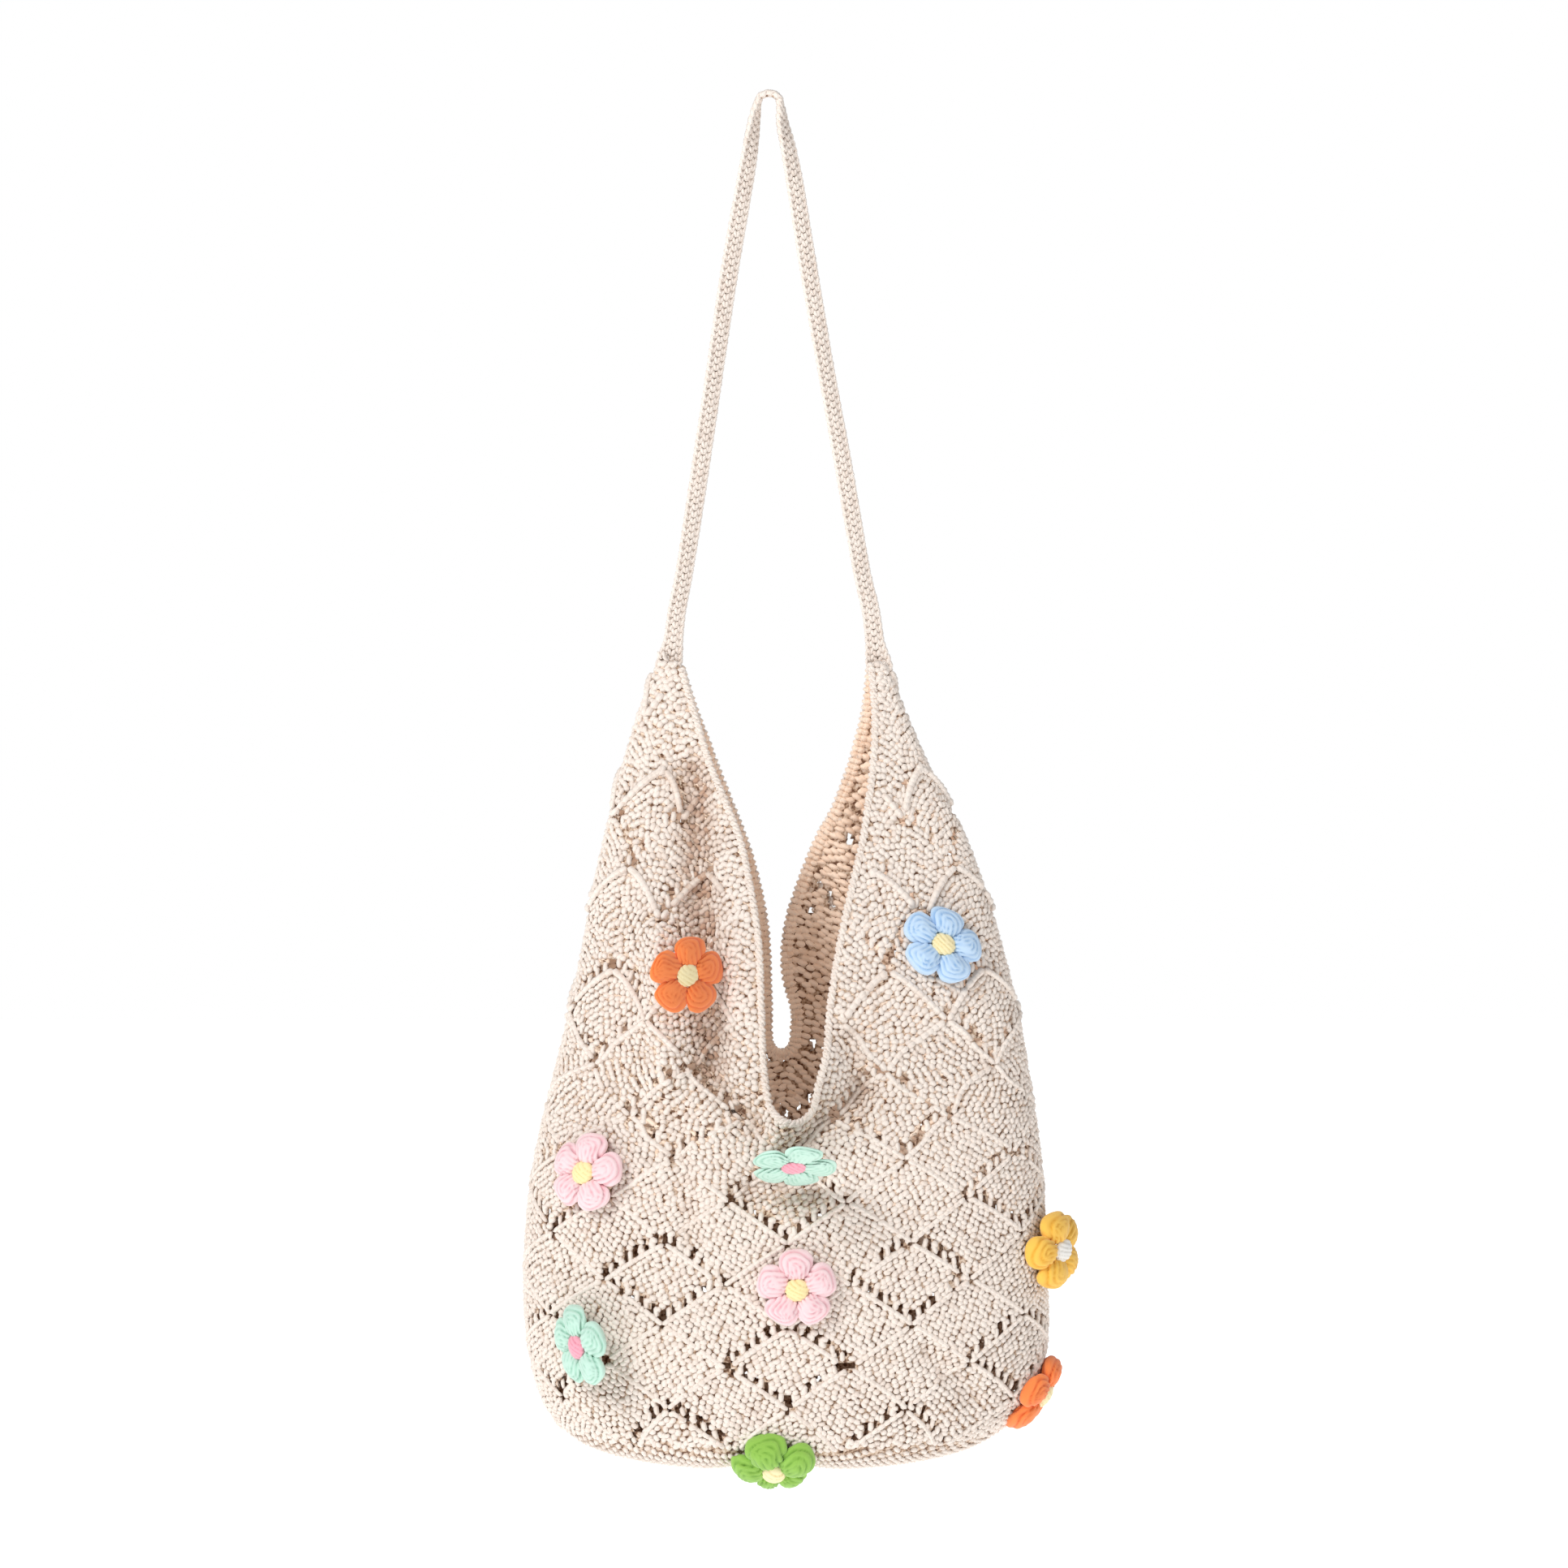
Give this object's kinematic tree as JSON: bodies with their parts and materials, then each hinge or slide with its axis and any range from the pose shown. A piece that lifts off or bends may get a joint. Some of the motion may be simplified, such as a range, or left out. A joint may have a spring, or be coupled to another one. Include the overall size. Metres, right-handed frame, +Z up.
{
  "type": "crochet bag",
  "caption": "Slouchy knitted cotton shoulder bag with a deep V neckline front and back, one long strap sewn to its points, and puff flowers on the wall.",
  "frame": {"origin": "the hang point, under the top of the strap, where a hook or a shoulder holds the bag", "axes": "+Z up along the hanging bag, -Y towards the front with the flowers, +X to the right as seen from the front"},
  "size_m": [0.3679, 0.206, 0.9165],
  "materials": {
    "cotton_wall": "matte cotton, knitted in slanted tiles",
    "cotton_edging": "matte cotton, chain stitches",
    "cotton_strap": "matte cotton, knitted band",
    "blue_yarn": "matte yarn",
    "orange_yarn": "matte yarn",
    "pink_yarn": "matte yarn",
    "mint_yarn": "matte yarn",
    "yellow_yarn": "matte yarn",
    "green_yarn": "matte yarn",
    "cream_yarn": "matte yarn",
    "pale_yellow_yarn": "matte yarn",
    "rose_yarn": "matte yarn",
    "white_yarn": "matte yarn"
  },
  "bodies": {
    "root": {"bag_body": "cotton_wall", "front_neck_edging": "cotton_edging", "back_neck_edging": "cotton_edging", "shoulder_strap": "cotton_strap", "blue_flower_petals": "blue_yarn", "blue_flower_button": "cream_yarn", "orange_upper_flower_petals": "orange_yarn", "orange_upper_flower_button": "cream_yarn", "pink_left_flower_petals": "pink_yarn", "pink_left_flower_button": "pale_yellow_yarn", "mint_upper_flower_petals": "mint_yarn", "mint_upper_flower_button": "rose_yarn", "pink_middle_flower_petals": "pink_yarn", "pink_middle_flower_button": "pale_yellow_yarn", "yellow_flower_petals": "yellow_yarn", "yellow_flower_button": "white_yarn", "mint_lower_flower_petals": "mint_yarn", "mint_lower_flower_button": "rose_yarn", "orange_lower_flower_petals": "orange_yarn", "orange_lower_flower_button": "cream_yarn", "green_flower_petals": "green_yarn", "green_flower_button": "cream_yarn"}
  },
  "joints": []
}
